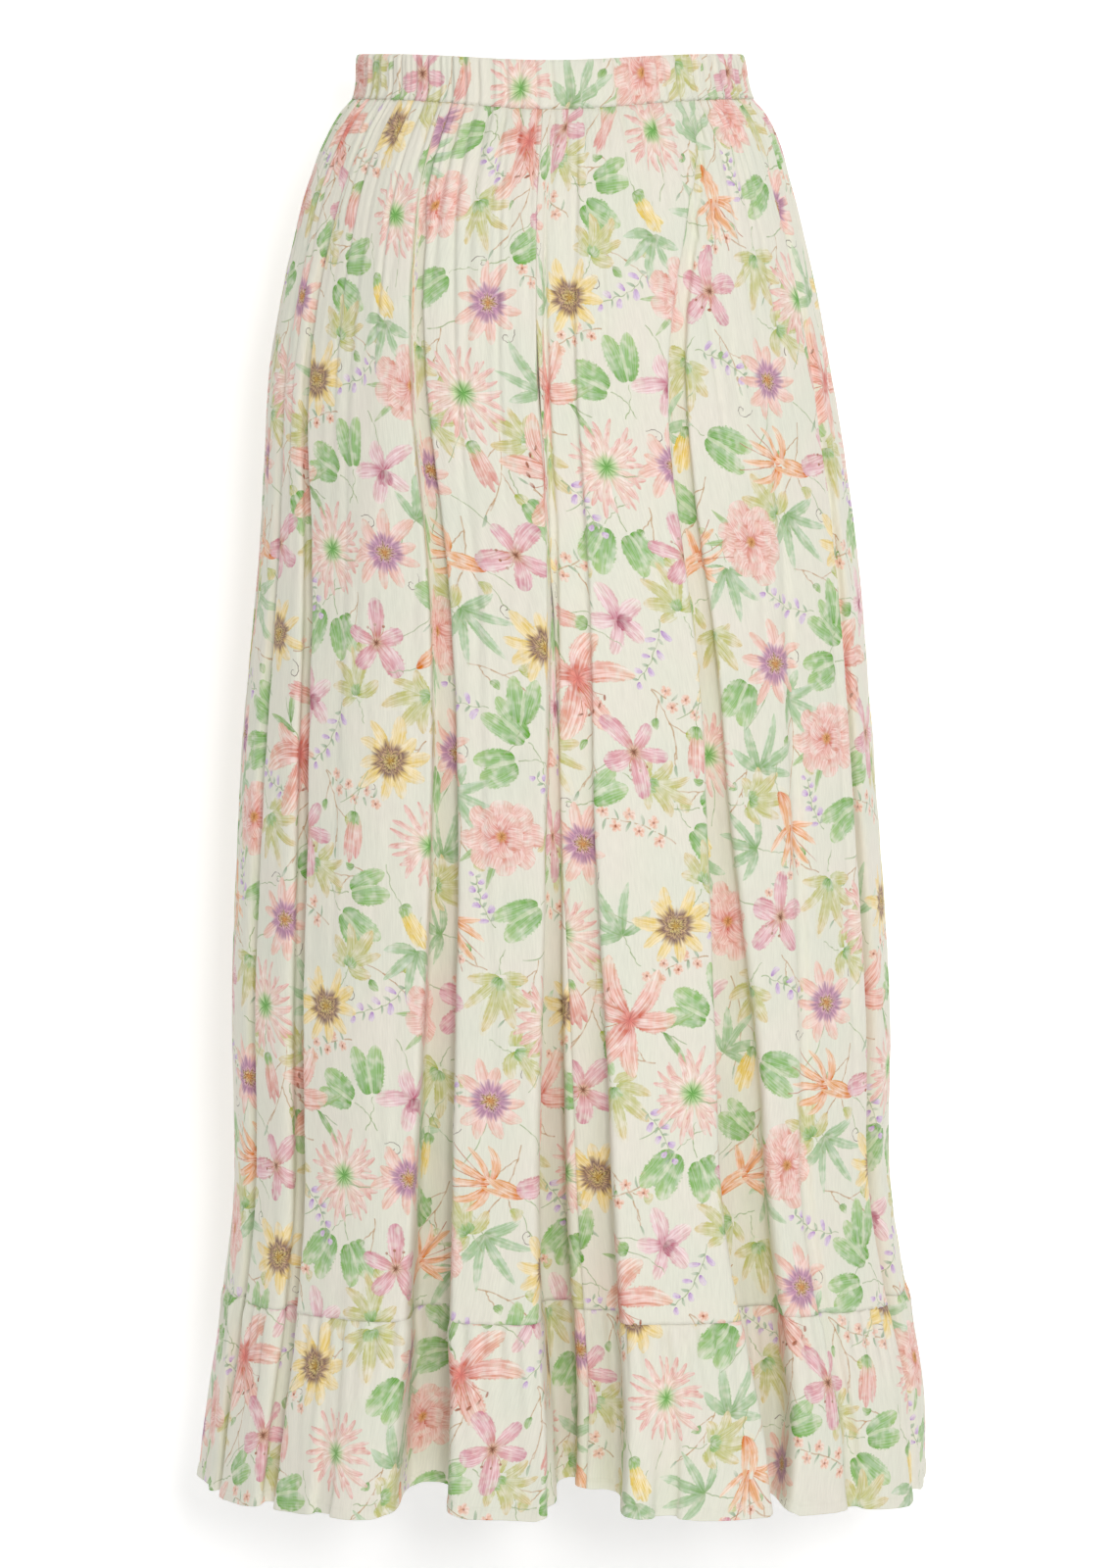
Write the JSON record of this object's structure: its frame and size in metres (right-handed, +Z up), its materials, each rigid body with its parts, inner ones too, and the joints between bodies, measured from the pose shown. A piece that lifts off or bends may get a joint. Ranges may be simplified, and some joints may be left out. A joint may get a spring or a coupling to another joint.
{
  "type": "wrap skirt",
  "caption": "Long gathered wrap skirt, worn form: closed elastic waistband, lapped front panels and a gathered hem frill in floral crepe.",
  "frame": {"origin": "middle of the waist, half way up the waistband, where a wearer holds the skirt", "axes": "+Z up through the waist, the back of the skirt faces -Y, the wrap closes over the front at +Y, and +X is the side of the over front's side seam"},
  "size_m": [0.5251, 0.3746, 1.0185],
  "materials": {
    "printed_crepe": "matt crinkled crepe with a printed flower pattern on cream"
  },
  "bodies": {
    "root": {"waistband": "printed_crepe", "back_left": "printed_crepe", "back_right": "printed_crepe", "front_over": "printed_crepe", "front_under": "printed_crepe", "frill_back_left": "printed_crepe", "frill_back_right": "printed_crepe", "frill_front_over": "printed_crepe", "frill_front_under": "printed_crepe"}
  },
  "joints": []
}
